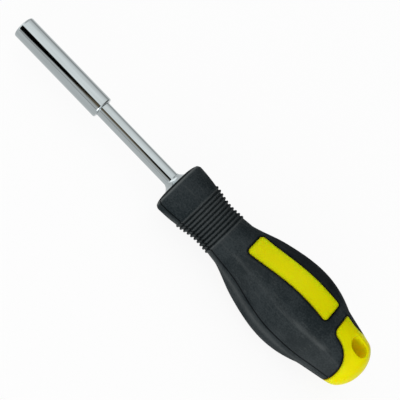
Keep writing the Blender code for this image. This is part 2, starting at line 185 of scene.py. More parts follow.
def reckon(operation, first, second=0.0):
    return addAfter("ShaderNodeMath", {0: first, 1: second}, operation=operation).outputs[0]


def times(first, second):
    return reckon("MULTIPLY", first, second)


def plus(first, second):
    return reckon("ADD", first, second)


def blendColour(share, first, second):
    first, second = [(*c, 1.0) if isinstance(c, tuple) else c for c in (first, second)]
    return addAfter("ShaderNodeMix", {0: share, 6: first, 7: second}, data_type="RGBA").outputs[2]


def bump(height, strength, distance):
    inputs = {"Height": height, "Strength": strength, "Distance": distance}
    return addAfter("ShaderNodeBump", inputs).outputs["Normal"]


def finishShader(colour, roughness, normal, fixed):
    inputs = {"Base Color": colour, "Roughness": roughness, "Normal": normal, **fixed}
    shader = addAfter("ShaderNodeBsdfPrincipled", inputs)
    addAfter("ShaderNodeOutputMaterial", {"Surface": shader.outputs[0]})


grainSizes = {
    "fine": (3.0, 0.6),  # detail and roughness, its scale comes from the material
    "broad": (1500.0, 3.0, 0.7),  # scale, detail and roughness
    "broadShare": 0.5,
    "slow": (80.0, 2.0),
    "cloudSpread": (0.84, 1.16),
    "flowStretch": (45.0, 900.0, 900.0),
    "flow": (1.0, 4.0, 0.6),
    "flowSpread": (0.56, 0.76),
}


def mouldedGrainGroup():  # fine skin of a mould, slow clouds in the mix and lines of flow
    tree, takes, gives = newGroup("mouldedGrain", {"Scale": 5000.0}, ("Height", "Cloud", "Flow"))
    place = objectPlace(tree)
    fine = noise(place, takes["Scale"], *grainSizes["fine"])
    broad = noise(place, *grainSizes["broad"])
    slow = noise(place, *grainSizes["slow"])
    flow = noise(stretch(place, grainSizes["flowStretch"]), *grainSizes["flow"])
    feed(plus(fine, times(broad, grainSizes["broadShare"])), gives, "Height")
    feed(spread(plus(broad, slow), *grainSizes["cloudSpread"]), gives, "Cloud")
    feed(spread(flow, *grainSizes["flowSpread"]), gives, "Flow")
    return tree


markSizes = {
    "smudge": (95.0, 4.0, 0.6),
    "smudgeSpread": (0.42, 0.72),
    "lineStretch": (260.0, 2600.0, 2200.0),
    "line": (1.0, 2.0),
    "lineSpread": (0.66, 0.74),
    "patch": (160.0, 2.0),
    "patchSpread": (0.5, 0.65),
}


def handlingMarksGroup():  # smudges and hairline scratches from use
    tree, takes, gives = newGroup("handlingMarks", {"Amount": 1.0}, ("Smudge", "Scratch"))
    place = objectPlace(tree)
    smudge = spread(noise(place, *markSizes["smudge"]), *markSizes["smudgeSpread"])
    line = noise(stretch(place, markSizes["lineStretch"]), *markSizes["line"])
    patch = spread(noise(place, *markSizes["patch"]), *markSizes["patchSpread"])
    scratch = times(spread(line, *markSizes["lineSpread"]), patch)
    feed(times(smudge, takes["Amount"]), gives, "Smudge")
    feed(times(scratch, takes["Amount"]), gives, "Scratch")
    return tree


streakSizes = {
    "longStretch": (0.004, 1.0, 1.0),
    "long": (3.0, 0.6),
    "shortStretch": (60.0, 900.0, 900.0),
    "short": (1.0, 2.0),
    "spread": (0.75, 1.25),
}


def drawnStreaksGroup():  # lengthwise lines of drawn and polished metal
    tree, takes, gives = newGroup("drawnStreaks", {"Across": 5200.0}, ("Height", "Streak"))
    place = objectPlace(tree)
    drawn = stretch(place, streakSizes["longStretch"])
    long = noise(drawn, takes["Across"], *streakSizes["long"])
    short = noise(stretch(place, streakSizes["shortStretch"]), *streakSizes["short"])
    feed(long, gives, "Height")
    feed(spread(plus(long, short), *streakSizes["spread"]), gives, "Streak")
    return tree


edgeSizes = {"patch": (650.0, 3.0, 0.6)}


def paintedShadeAndLightGroup():  # painted shade in creases, seams and on one side, painted highlights on ridges and painted glow in the hang hole
    tree, takes, gives = newGroup("paintedShadeAndLight", {"Break": 0.35}, ("PaintedShade", "PaintedLight"))
    patch = noise(objectPlace(tree), *edgeSizes["patch"])
    left = reckon("SUBTRACT", 1.0, times(patch, takes["Break"]))
    for mark, socket in (("paintedShade", "PaintedShade"), ("paintedLight", "PaintedLight")):
        found = addNode(tree, "ShaderNodeAttribute", attribute_name=mark).outputs["Fac"]
        feed(times(found, left), gives, socket)
    return tree


mouldedGrain = mouldedGrainGroup()
handlingMarks = handlingMarksGroup()
drawnStreaks = drawnStreaksGroup()
paintedShadeAndLight = paintedShadeAndLightGroup()

metal = {"marks": 1.0, "scratch": 0.12, "bump": (0.25, 0.000012)}  # shared by the three metals
chrome = {
    "colour": (0.40, 0.44, 0.45),
    "streakColour": (0.34, 0.375, 0.38),
    "roughness": (0.028, 0.055),
    "smudge": 0.03,
    "across": 5200.0,  # higher gives finer streaks
}
magnet = {
    "colour": (0.50, 0.49, 0.46),
    "streakColour": (0.38, 0.37, 0.35),
    "roughness": (0.26, 0.42),
    "smudge": 0.08,
    "across": 3000.0,
}
spring = {
    "colour": (0.42, 0.42, 0.43),
    "streakColour": (0.30, 0.30, 0.31),
    "roughness": (0.22, 0.38),
    "smudge": 0.08,
    "across": 7000.0,
}


def metalFinish(name, look):
    made, tree = newMaterial(name)
    streaks = placeGroup(tree, drawnStreaks, Across=look["across"])
    marks = placeGroup(tree, handlingMarks, Amount=metal["marks"])
    smooth, rough = look["roughness"]
    colour = blendColour(streaks["Streak"], look["streakColour"], look["colour"])
    worn = plus(times(marks["Smudge"], look["smudge"]), times(marks["Scratch"], metal["scratch"]))
    worn = plus(spread(streaks["Streak"], 0.0, 1.0, rough, smooth), worn)
    normal = bump(streaks["Height"], *metal["bump"])
    finishShader(colour, worn, normal, {"Metallic": 1.0})
    return made


def mouldedGroups(tree, look):
    return (placeGroup(tree, mouldedGrain, Scale=look["grain"]),
            placeGroup(tree, handlingMarks, Amount=look["marks"]),
            placeGroup(tree, paintedShadeAndLight, Break=look["break"]))


rubber = {
    "colour": (0.0105, 0.0146, 0.0164),
    "cloudColour": (0.0255, 0.0314, 0.0338),
    "flowColour": (0.0400, 0.0450, 0.0460),  # faint lines where the melt ran along the lobes
    "flowShare": 0.85,
    # painted shade colour, then painted highlight colour
    "paintedShadeColour": (0.0022, 0.0028, 0.0032),
    "paintedLightColour": (0.105, 0.1135, 0.1140),
    "roughness": (0.43, 0.56),
    "polish": 0.19,  # how much smoother it is under the painted highlights
    "specular": 0.005,
    "grain": 4200.0,
    "bump": (0.6, 0.00003),
    "marks": 1.0,
    "scratch": 0.08,
    "break": 0.35,
}


def rubberSkin():
    made, tree = newMaterial("rubberFinish")
    grain, marks, painted = mouldedGroups(tree, rubber)
    smooth, rough = rubber["roughness"]
    colour = blendColour(grain["Cloud"], rubber["colour"], rubber["cloudColour"])
    streak = times(grain["Flow"], rubber["flowShare"])
    colour = blendColour(streak, colour, rubber["flowColour"])
    # painted highlights, then painted shade
    colour = blendColour(painted["PaintedLight"], colour, rubber["paintedLightColour"])
    colour = blendColour(painted["PaintedShade"], colour, rubber["paintedShadeColour"])
    worn = spread(marks["Smudge"], 0.0, 1.0, rough, smooth)
    worn = reckon("SUBTRACT", worn, times(painted["PaintedLight"], rubber["polish"]))
    worn = plus(worn, times(marks["Scratch"], rubber["scratch"]))
    normal = bump(grain["Height"], *rubber["bump"])
    finishShader(colour, worn, normal, {"Specular IOR Level": rubber["specular"]})
    return made


yellow = {
    "colour": (0.640, 0.605, 0.0005),
    "cloudColour": (0.610, 0.565, 0.0005),
    # painted shade at the seams
    "paintedShadeColour": (0.14, 0.12, 0.001),
    "mouthColour": (0.80, 0.72, 0.0005),  # painted glow in the hang hole just inside its rim
    "mouthSpread": (0.0, 0.4),
    "wallColour": (1.0, 0.80, 0.0005),  # painted glow deeper in, in place of light coming through the plastic
    "wallSpread": (0.5, 0.9),
    "subsurface": 0.7,
    "depth": (0.0090, 0.0045, 0.0002),  # how far red, green and blue light goes in
    "roughness": (0.30, 0.42),
    "specular": 0.03,
    "grain": 2600.0,
    "bump": (0.4, 0.00002),
    "marks": 0.8,
    "scratch": 0.1,
    "break": 0.2,
}


def yellowPlastic():
    made, tree = newMaterial("yellowFinish")
    grain, marks, painted = mouldedGroups(tree, yellow)
    colour = blendColour(grain["Cloud"], yellow["cloudColour"], yellow["colour"])
    # painted glow in the hang hole
    for part in ("mouth", "wall"):
        share = spread(painted["PaintedLight"], *yellow[part + "Spread"])
        colour = blendColour(share, colour, yellow[part + "Colour"])
    # painted shade at the seams
    colour = blendColour(painted["PaintedShade"], colour, yellow["paintedShadeColour"])
    worn = spread(marks["Smudge"], 0.0, 1.0, *yellow["roughness"])
    worn = plus(worn, times(marks["Scratch"], yellow["scratch"]))
    normal = bump(grain["Height"], *yellow["bump"])
    finishShader(colour, worn, normal, {
        "Specular IOR Level": yellow["specular"],
        "Subsurface Weight": yellow["subsurface"],
        "Subsurface Radius": yellow["depth"],
        "Subsurface Scale": 1.0,
    })
    return made


chromeFinish = metalFinish("chromeFinish", chrome)
magnetFinish = metalFinish("magnetFinish", magnet)
springFinish = metalFinish("springFinish", spring)
rubberFinish = rubberSkin()
yellowFinish = yellowPlastic()
print("finishes mixed")


# places taken from the frame

sleeveLow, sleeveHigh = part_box("bit_sleeve")
shankLow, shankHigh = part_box("shank")
collarLow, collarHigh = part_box("shank_collar")
coreLow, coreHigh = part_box("handle_core")
axisZ = (coreLow.z + coreHigh.z) / 2
tipX = sleeveLow.x
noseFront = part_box("soft_grip")[0].x
coreFront = coreLow.x
buttEnd = coreHigh.x
bellyFlat = (coreHigh.z - coreLow.z) / 2


# bit sleeve: rounded tube with the hex socket, its lead-in and the groove of the spring ring

sleeve = {
    "edge": 0.0007,  # rounding of both outer edges
    "edgeRing": 0.0004,  # a ring this far beside them keeps the long faces straight
    "hexInradius": 0.003225,
    "leadIn": 0.00015,  # bevel beyond the corners of the hex
    "grooveAt": 0.0055,  # mouth to the middle of the ring
    "grooveHalf": 0.00045,
    "grooveRadius": 0.004075,
    "hexDepth": 0.01915,
    "bore": 0.00335,
    "edgeRows": 6,
    "steps": 96,
    "sharpAngle": 35,
}


def buildSleeve():
    angles = fullTurn(sleeve["steps"])
    outside = (sleeveHigh.z - sleeveLow.z) / 2
    back = sleeveHigh.x
    edge = sleeve["edge"]
    hexWall = sleeve["hexInradius"] / np.cos(np.mod(angles, math.pi / 3) - math.pi / 6)
    lead = hexWall.max() + sleeve["leadIn"]
    grooveFront = tipX + sleeve["grooveAt"] - sleeve["grooveHalf"]
    grooveBack = tipX + sleeve["grooveAt"] + sleeve["grooveHalf"]
    rows = [(tipX, lead)]
    rows += arcRows(tipX + edge, outside - edge, edge, 180, 90, sleeve["edgeRows"])
    rows += [(tipX + edge + sleeve["edgeRing"], outside), (back - edge - sleeve["edgeRing"], outside)]
    rows += arcRows(back - edge, outside - edge, edge, 90, 0, sleeve["edgeRows"])
    rows += [
        (back, sleeve["bore"]),
        (tipX + sleeve["hexDepth"], sleeve["bore"]),
        (tipX + sleeve["hexDepth"], hexWall),
        (grooveBack, hexWall),
        (grooveBack, sleeve["grooveRadius"]),
        (grooveFront, sleeve["grooveRadius"]),
        (grooveFront, hexWall),
        (tipX + lead - hexWall, hexWall),
    ]
    points, faces = turned(rows, angles, closed=True)
    newPiece("bitSleeve", "bit_sleeve", points, faces, chromeFinish, sleeve["sharpAngle"])


buildSleeve()
print("bit sleeve built")


# shank: round rod with its winged tang inside the handle

shank = {
    "radius": 0.00325,
    "chamfer": 0.0006,
    "wingLength": 0.014,
    "wingThickness": 0.0024,
    "wingFromEnd": 0.008,
    "steps": 96,
    "sharpAngle": 35,
}


def buildShank():
    angles = fullTurn(shank["steps"])
    radius = shank["radius"]
    chamfer = shank["chamfer"]
    rows = [
        (shankLow.x, radius - chamfer),
        (shankLow.x + chamfer, radius),
        (shankHigh.x - chamfer, radius),
        (shankHigh.x, radius - chamfer),
    ]
    points, faces = turned(rows, angles)
    wingBack = shankHigh.x - shank["wingFromEnd"]
    wingFront = wingBack - shank["wingLength"]
    half = shank["wingThickness"] / 2
    first = len(points)
    corners = [(x, y, axisZ + z) for x in (wingFront, wingBack) for y in (shankLow.y, shankHigh.y)
               for z in (-half, half)]
    points = np.concatenate([points, np.array(corners)])
    for quad in ((0, 1, 3, 2), (4, 6, 7, 5), (0, 4, 5, 1), (2, 3, 7, 6), (0, 2, 6, 4), (1, 5, 7, 3)):
        faces.append(tuple(first + i for i in quad))
    newPiece("shankRod", "shank", points, faces, chromeFinish, shank["sharpAngle"])


buildShank()
print("shank built")


# collar: hollow flare where the shank enters the nose

collar = {
    "bore": 0.00335,
    "lip": 0.00008,  # thickness at the thin end
    "hollow": 1.7,  # higher is more hollow
    "rows": 14,
    "steps": 96,
    "sharpAngle": 35,
}


def buildCollar():
    angles = fullTurn(collar["steps"])
    outside = (collarHigh.z - collarLow.z) / 2
    lip = collar["bore"] + collar["lip"]
    rows = [(collarHigh.x, collar["bore"]), (collarHigh.x, outside)]
    for t in np.linspace(0, 1, collar["rows"]):
        x = noseFront - t * (noseFront - collarLow.x)
        rows.append((x, lip + (outside - lip) * (1 - t) ** collar["hollow"]))
    rows.append((collarLow.x, collar["bore"]))
    points, faces = turned(rows, angles, closed=True)
    sharpAngle = collar["sharpAngle"]
    newPiece("shankCollar", "shank_collar", points, faces, chromeFinish, sharpAngle)


buildCollar()
print("collar built")


# outside of the handle, shared by core and grip

handle = {
    "nose": (0.01165, -0.02),  # radius and slope at the front face
    "noseLength": 0.01168,  # front face to the first rib
    "noseEnd": (0.01075, -0.17),
    "edge": [  # behind the front face, drop below the barrel, slope
        (0.0, 0.0050, -9.0),
        (0.0003, 0.0029, -4.4),
        (0.00102, 0.00082, -1.7),
        (0.00124, 0.00058, -0.55),
        (0.0026, 0.0, -0.05),
    ],
    "ribCount": 10,
    "ribPitch": 0.00164,
    "waistRadius": 0.0091,
    "waistPlace": 0.63,  # share of the ribbed neck
    "throat": (0.00963, 0.134),  # just behind the ribs
    "shoulderLength": 0.0181,  # ribs to the place where the handle swells most
    "shoulder": (0.01235, 0.309),
    "swellLength": 0.0371,  # ribs to the widest place
    "taperLength": 0.0168,  # widest place to the end of the lobes
    "tail": (0.01425, -0.246),
    "tailLength": 0.01442,
    "buttRadius": 0.01106,
    "domeFullness": 0.47,  # 0.5 is an ellipse, less has fuller sides
    "lobeLead": 0.0046,  # ribs to the start of the lobes
    "lobeFront": (0.0, 0.179),  # how far the lobes stand out, and slope
    "lobeShoulder": (0.00255, -0.042),
    "lobeBelly": (0.0020, 0.0),
    "lobeBack": (0.0, -0.207),
    "gripWall": 0.0022,
    "coreGap": 0.0003,  # hidden room between core and grip
}

noseBack = noseFront + handle["noseLength"]
neckLength = handle["ribCount"] * handle["ribPitch"]
neckBack = noseBack + neckLength
shoulderX = neckBack + handle["shoulderLength"]
bellyX = neckBack + handle["swellLength"]
lobeFront = neckBack + handle["lobeLead"]
lobeBack = bellyX + handle["taperLength"]
domeFront = lobeBack + handle["tailLength"]

tailSlope = handle["tail"][1]
flatKnots = [  # place, radius over the flats, slope
    (noseFront, *handle["nose"]),
    (noseBack, *handle["noseEnd"]),
    (noseBack + handle["waistPlace"] * neckLength, handle["waistRadius"], 0.0),
    (neckBack, *handle["throat"]),
    (shoulderX, *handle["shoulder"]),
    (bellyX, bellyFlat, 0.0),
    (lobeBack, *handle["tail"]),
    (domeFront, handle["buttRadius"], tailSlope),
]
lobeKnots = [  # place, rise of the corners, slope
    (lobeFront, *handle["lobeFront"]),
    (shoulderX, *handle["lobeShoulder"]),
    (bellyX, *handle["lobeBelly"]),
    (lobeBack, *handle["lobeBack"]),
]


def ramp(value, low, high):
    return np.clip((value - low) / (high - low), 0, 1)


def peak(value, start, middle, end):
    return ramp(value, start, middle) * (1 - ramp(value, middle, end))


def cubicThrough(knots, x):
    places, values, slopes = np.array(knots).T
    x = np.clip(x, places[0], places[-1])
    k = np.clip(np.searchsorted(places, x, side="right") - 1, 0, len(places) - 2)
    span = places[k + 1] - places[k]
    t = (x - places[k]) / span
    rest = 1 - t
    front = (1 + 2 * t) * rest ** 2 * values[k] + t * rest ** 2 * span * slopes[k]
    back = t ** 2 * (3 - 2 * t) * values[k + 1] - t ** 2 * rest * span * slopes[k + 1]
    return front + back


def flatRadius(x):
    x = np.asarray(x, float)
    body = cubicThrough(flatKnots, x) - cubicThrough(handle["edge"], x - noseFront)
    intoDome = ramp(x, domeFront, buttEnd)
    cone = handle["buttRadius"] + tailSlope * (x - domeFront)
    dome = cone * (1 - intoDome ** 2) ** handle["domeFullness"]
    return np.where(x > domeFront, dome, body)


def lobeRise(x):
    x = np.asarray(x, float)
    return np.where((x > lobeFront) & (x < lobeBack), cubicThrough(lobeKnots, x), 0.0)


def handleRadius(x, angle):  # round, or a rounded square where the lobes stand out
    flat = np.maximum(flatRadius(x), 1e-6)
    power = 1 / (0.5 - np.log2(1 + lobeRise(x) / flat))
    reach = np.abs(np.cos(angle)) ** power + np.abs(np.sin(angle)) ** power
    return flat * reach ** (-1 / power)


def onHandle(x, angle, depth):
    radius = handleRadius(x, angle) - depth
    return np.stack([x, radius * np.cos(angle), axisZ + radius * np.sin(angle)], axis=-1)


# The upper half of belly and tail is laid out flat, with x along the tool and the way round measured
# from the top. Core and grip are cut from this one sheet, so that their edges follow each other.

layout = {
    "spacing": 0.00062,  # between the points of the sheet
    "edgeSpacing": 0.00034,  # along the edges of windows and tail
    "seamRoom": 0.6,  # kept free beside edges, shares of the spacing
    "endRoom": 0.4,
    "sideRoom": 0.5,
    "pointRoom": 0.55,
    "cornerSteps": 25,  # points of the drawn corners, tongues and bends before they are spaced evenly
    "tongueSteps": 240,
    "bendSteps": 30,
    "halvings": 50,  # steps of the search from a plan onto the handle
    "lastRing": 0.0042,  # end of the sheet to the end of the butt
    "columns": 72,  # round half of the handle
}

seamEdge = {  # where core and grip meet and both show
    "gap": 0.00022,
    "lip": 0.00022,  # rounding of both edges
    "lipRows": (0.12, 0.35, 0.65, 1.0),  # shares of it
    "paintedShadeWidth": 0.00070,  # painted shade line on the grip beside the seam
    "paintedShadeFull": 0.00025,  # the painted shade is darkest as far as this
    # painted shade line on the core beside the seam
    "corePaintedShadeWidth": 0.00045,
}

window = {
    "lead": 0.0093,  # ribs to its front end
    "width": 0.0109,
    "waist": 0.00025,  # how much each side draws in at the middle
    "corners": (0.0013, 0.0020, 0.0020, 0.0020),  # from the far back corner round
    "bridge": 0.00505,  # grip between window and tail
}

tailEdge = {
    "leap": 0.00015,  # it starts this far before the end of the lobes
    "tongueLength": 0.01235,
    "tongueFullness": 2.75,  # 2 is an ellipse, more has fuller corners
    "tongues": [(64.5, 0.0012), (70, 0.0032)],  # half angle and bend at the front edge, +Y and -Y side
}

hangHole = {
    "length": 0.0085,
    "width": 0.0068,
    "aside": 0.0009,  # from the middle towards +Y
    "fromEnd": 0.0090,
    "rim": 0.0006,  # rounding
    "rimRows": (0.05, 0.2, 0.42, 0.7, 1.0),  # shares of it
}

parting = {  # mould line along both sides
    "depthNose": 0.00034,
    "depthBelly": 0.00032,
    "half": 0.00060,
    "rows": (0.3, 0.65, 1.0),  # shares of it
    "columns": (0.6, 1.3, 1.9),  # degrees from the line
    "shade": 2.4,  # how wide the painted shade of the line is
    "highlight": (0.0008, 0.0034, 0.0062),  # painted lit strip below it: start, middle and end
    "highlightShare": 0.40,
    "highlightFrom": (0.0040, 0.0070),  # behind the front of the nose: where it starts and is full
}

tailSplit = lobeBack - tailEdge["leap"]
windowFront = neckBack + window["lead"]
windowBack = tailSplit - window["bridge"]
holeX = buttEnd - hangHole["fromEnd"]
lastRing = buttEnd - layout["lastRing"]
besideParting = np.radians(parting["columns"])
halfTurn = np.concatenate([  # angles from +Y over the top to -Y, closer at the mould lines
    [0.0], besideParting,
    np.linspace(0, math.pi, layout["columns"] + 1)[1:-1],
    (math.pi - besideParting)[::-1], [math.pi],
])
ringAngles = np.concatenate([halfTurn, -halfTurn[1:-1][::-1]])


def roundAbout(x):  # radius that lays the sheet out with little stretch
    return flatRadius(x) + lobeRise(x) / 2


def toSheet(x, angle):
    return np.stack([x, roundAbout(x) * (angle - math.pi / 2)], axis=-1)


def toAngle(sheet):
    return math.pi / 2 + sheet[:, 1] / roundAbout(sheet[:, 0])


def seenFromAbove(plan):  # points of a plan of the top onto the sheet
    low = np.full(len(plan), 1e-3)
    high = np.full(len(plan), math.pi - 1e-3)
    for _ in range(layout["halvings"]):
        middle = (low + high) / 2
        tooFar = handleRadius(plan[:, 0], middle) * np.cos(middle) > plan[:, 1]
        low = np.where(tooFar, middle, low)
        high = np.where(tooFar, high, middle)
    return toSheet(plan[:, 0], (low + high) / 2)


def resample(line, spacing):
    steps = np.linalg.norm(np.diff(line, axis=0), axis=1)
    way = np.concatenate([[0], np.cumsum(steps)])
    places = np.linspace(0, way[-1], max(2, int(round(way[-1] / spacing)) + 1))
    return np.stack([np.interp(places, way, line[:, k]) for k in range(2)], axis=1)


def roundedPlan(middle, length, width, corners):
    points = []
    for quarter, corner in enumerate(corners):
        along = 1 if quarter in (0, 3) else -1
        across = 1 if quarter < 2 else -1
        turn = np.radians(np.linspace(90 * quarter, 90 * quarter + 90, layout["cornerSteps"]))
        points.append(np.stack([
            middle + along * (length / 2 - corner) + corner * np.cos(turn),
            across * (width / 2 - corner) + corner * np.sin(turn),
        ], axis=1))
    loop = np.concatenate(points + [points[0][:1]])
    return resample(loop, layout["edgeSpacing"])[:-1]


def windowLoop(grow):
    length = windowBack - windowFront + 2 * grow
    middle = (windowFront + windowBack) / 2
    corners = [corner + grow for corner in window["corners"]]
    plan = roundedPlan(middle, length, window["width"] + 2 * grow, corners)
    drawn = window["waist"] * (1 - ((plan[:, 0] - middle) / (length / 2)) ** 2)
    plan[:, 1] -= np.sign(plan[:, 1]) * drawn
    return seenFromAbove(plan)


def holeLoop(grow):
    width = hangHole["width"] + 2 * grow
    plan = roundedPlan(holeX, hangHole["length"] + 2 * grow, width, [width / 2 - 1e-6] * 4)
    return seenFromAbove(plan + (0.0, hangHole["aside"]))


def tailLine():  # edge of the tail from one side round the top to the other
    bow = 2 / tailEdge["tongueFullness"]
    swing = np.linspace(0, math.pi / 2, layout["tongueSteps"])
    x = tailSplit + tailEdge["tongueLength"] * np.maximum(np.cos(swing), 0) ** bow
    t = np.linspace(0, 1, layout["bendSteps"])[:, None]
    halves = []
    for reach, size in tailEdge["tongues"]:
        side = toSheet(x, math.radians(reach) * np.sin(swing) ** bow)
        corner = side[-1]
        way = np.linalg.norm(side - corner, axis=1)
        start = side[np.argmin(np.abs(way - size))]
        end = corner + np.array([0.0, size])
        bend = (1 - t) ** 2 * start + 2 * t * (1 - t) * corner + t ** 2 * end
        halves.append(np.concatenate([side[way > size], bend]))
    line = np.concatenate([halves[0], halves[1][::-1] * (1, -1)])
    return resample(line, layout["edgeSpacing"])


def besideLine(line, offset):  # towards the nose where the offset is positive
    along = np.gradient(line, axis=0)
    along /= np.linalg.norm(along, axis=1)[:, None]
    moved = line + offset * np.stack([-along[:, 1], along[:, 0]], axis=1)
    for end, angle in ((0, 0.0), (-1, math.pi)):
        moved[end] = toSheet(moved[end, 0], angle)
    return moved


def insideLoop(loop, points):
    inside = np.zeros(len(points), bool)
    for (x0, y0), (x1, y1) in zip(loop, np.roll(loop, -1, axis=0)):
        if y0 == y1:
            continue
        crosses = (points[:, 1] < y0) != (points[:, 1] < y1)
        at = x0 + (points[:, 1] - y0) / (y1 - y0) * (x1 - x0)
        inside ^= crosses & (points[:, 0] < at)
    return inside


def wayTo(line, points, closed):
    ends = np.roll(line, -1, axis=0) if closed else line[1:]
    best = np.full(len(points), np.inf)
    for a, b in zip(line, ends):
        along = b - a
        t = np.clip((points - a) @ along / (along @ along), 0, 1)
        best = np.minimum(best, np.linalg.norm(points - a - t[:, None] * along, axis=1))
    return best


def lipDepth(way, size):  # quarter round at an edge
    near = np.clip(size - way, 0, size)
    return size - np.sqrt(size ** 2 - near ** 2)


partingKnots = [
    (noseFront, parting["depthNose"], 0.0),
    (neckBack, parting["depthBelly"], 0.0),
    (buttEnd, parting["depthBelly"], 0.0),
]


def fromParting(angle, radius):  # way round to the nearer mould line
    return np.abs(np.mod(angle + math.pi / 2, math.pi) - math.pi / 2) * radius


def partingDepth(x, angle, radius):  # mould line along both sides of the grip
    near = np.clip(1 - fromParting(angle, radius) / parting["half"], 0, 1)
    return cubicThrough(partingKnots, x) * near ** 2 * (3 - 2 * near)


def partingPaintedShade(x, angle, radius):  # painted shade in the mould line
    share = partingDepth(x, angle, radius) / cubicThrough(partingKnots, x)
    return np.clip(parting["shade"] * share, 0, 1)


def partingHighlight(angle, radius):  # painted lit strip below the mould line, on the lower half
    strip = peak(fromParting(angle, radius), *parting["highlight"])
    return np.where(angle < 0, parting["highlightShare"] * strip, 0.0)


def sheetEdges():  # tail lines, closed loops, and rows of points where their edges are rounded
    half = seamEdge["gap"] / 2
    tail = tailLine()
    lines = {"gripTail": besideLine(tail, half), "coreTail": besideLine(tail, -half)}
    loops = {"gripWindow": windowLoop(half), "coreWindow": windowLoop(-half), "hole": holeLoop(0.0)}
    lips = [half + seamEdge["lip"] * share for share in seamEdge["lipRows"]]
    offsets = [sign * lip for lip in lips for sign in (1, -1)]
    rows = [besideLine(tail, offset) for offset in offsets]
    free = [windowLoop(offset) for offset in offsets]
    free += [holeLoop(hangHole["rim"] * share) for share in hangHole["rimRows"]]
    return lines, loops, rows, free


def sidePlaces(ends):  # along both sides, where the halves of the handle join, with the ends of the lines
    step = layout["spacing"]
    room = step * layout["seamRoom"]
    inner, outer = min(ends) - room, max(ends) + room
    between = [x for x in np.arange(neckBack, lastRing, step)[1:] if not inner < x < outer]
    return np.array(sorted(between[:-1] + ends))


def evenFill(fixed):  # rows of even triangles, clear of the fixed points
    step = layout["spacing"]
    nearest = KDTree(len(fixed))
    for i, (x, q) in enumerate(fixed):
        nearest.insert((x, q, 0), i)
    nearest.balance()
    reach = roundAbout(np.array([bellyX]))[0] * math.pi / 2
    fill = []
    for k, q in enumerate(np.arange(-reach, reach, step * math.sqrt(3) / 2)):
        xs = np.arange(neckBack + step * (0.5 + 0.5 * (k % 2)), lastRing - step * layout["endRoom"], step)
        xs = xs[np.abs(q) < roundAbout(xs) * math.pi / 2 - step * layout["sideRoom"]]
        fill += [(x, q) for x in xs if nearest.find((x, q, 0))[2] > layout["pointRoom"] * step]
    return np.array(fill)


def layOut():
    lines, loops, rows, free = sheetEdges()
    sideX = sidePlaces([line[0, 0] for line in [*lines.values(), *rows]])
    count = len(halfTurn)
    sideStart = (2 * count, 2 * count + len(sideX))
    total = sideStart[1] + len(sideX)
    points = [toSheet(np.full(count, x), halfTurn) for x in (neckBack, lastRing)]
    points += [toSheet(sideX, np.full(len(sideX), a)) for a in (0.0, math.pi)]
    edges = []

    def link(chain):
        edges.extend(zip(chain, chain[1:]))

    def sideVertex(x, side):
        return sideStart[side] + int(np.argmin(np.abs(sideX - x)))

    for first in (0, count):
        link(range(first, first + count))
    for corner, first in zip((0, count - 1), sideStart):
        link([corner, *range(first, first + len(sideX)), count + corner])
    for line in lines.values():
        points.append(line[1:-1])
        inside = range(total, total + len(line) - 2)
        link([sideVertex(line[0, 0], 0), *inside, sideVertex(line[-1, 0], 1)])
        total += len(inside)
    for loop in loops.values():
        points.append(loop)
        link([*range(total, total + len(loop)), total])
        total += len(loop)
    points += [line[1:-1] for line in rows] + free
    for share in parting["rows"]:
        turn = math.pi / 2 - parting["half"] * share / roundAbout(sideX)
        points += [toSheet(sideX, math.pi / 2 + sign * turn) for sign in (1, -1)]
    fixed = np.concatenate(points)
    sheet = np.concatenate([fixed, evenFill(fixed)])

    made = delaunay_2d_cdt([Vector(p) for p in sheet], edges, [], 1, 1e-9)
    kept = [origin[0] if origin else -1 for origin in made[3]]
    if kept != list(range(len(sheet))):
        print("the sheet was changed while it was cut:", len(sheet), len(made[0]))
    triangles = np.array([face for face in made[2] if len(face) == 3])
    middle = sheet[triangles].mean(axis=1)

    def behind(line):
        far = 1.0  # well beyond the sheet
        loop = [(line[0, 0], -far), *line, (line[-1, 0], far), (far, far), (far, -far)]
        return insideLoop(np.array(loop), middle)

    def wayToEdge(owner):
        tailWay = wayTo(lines[owner + "Tail"], sheet, False)
        return np.minimum(tailWay, wayTo(loops[owner + "Window"], sheet, True))

    regions = {
        "window": insideLoop(loops["coreWindow"], middle),
        "windowOpen": insideLoop(loops["gripWindow"], middle),
        "tail": behind(lines["coreTail"]),
        "tailOpen": behind(lines["gripTail"]),
        "hole": insideLoop(loops["hole"], middle),
    }
    angle = toAngle(sheet)
    angle[:2 * count] = np.tile(halfTurn, 2)
    angle[sideStart[0]:sideStart[1]] = 0.0
    angle[sideStart[1]:sideStart[1] + len(sideX)] = math.pi
    onSide = np.zeros(len(sheet), bool)
    onSide[[0, count - 1, count, 2 * count - 1]] = True
    onSide[sideStart[0]:sideStart[1] + len(sideX)] = True
    gripWay, coreWay = wayToEdge("grip"), wayToEdge("core")
    holeWay = wayTo(loops["hole"], sheet, True)
    return {
        "x": sheet[:, 0],
        "angle": angle,
        "onSide": onSide,
        "triangles": triangles,
        "regions": regions,
        "gripLip": lipDepth(gripWay, seamEdge["lip"]),
        "coreLip": lipDepth(coreWay, seamEdge["lip"]) + lipDepth(holeWay, hangHole["rim"]),
        # painted shade beside the seams
        "gripPaintedShade": 1 - ramp(gripWay, seamEdge["paintedShadeFull"], seamEdge["paintedShadeWidth"]),
        "corePaintedShade": 1 - ramp(coreWay, 0.0, seamEdge["corePaintedShadeWidth"]),
        "front": np.arange(count),
        "back": np.arange(count, 2 * count),
    }


def openEdges(triangles):  # edges that only one triangle uses
    seen = {}
    for a, b, c in triangles:
        for i, j in ((a, b), (b, c), (c, a)):
            key = (min(i, j), max(i, j))
            seen[key] = None if key in seen else (i, j)
    return [pair for pair in seen.values() if pair]


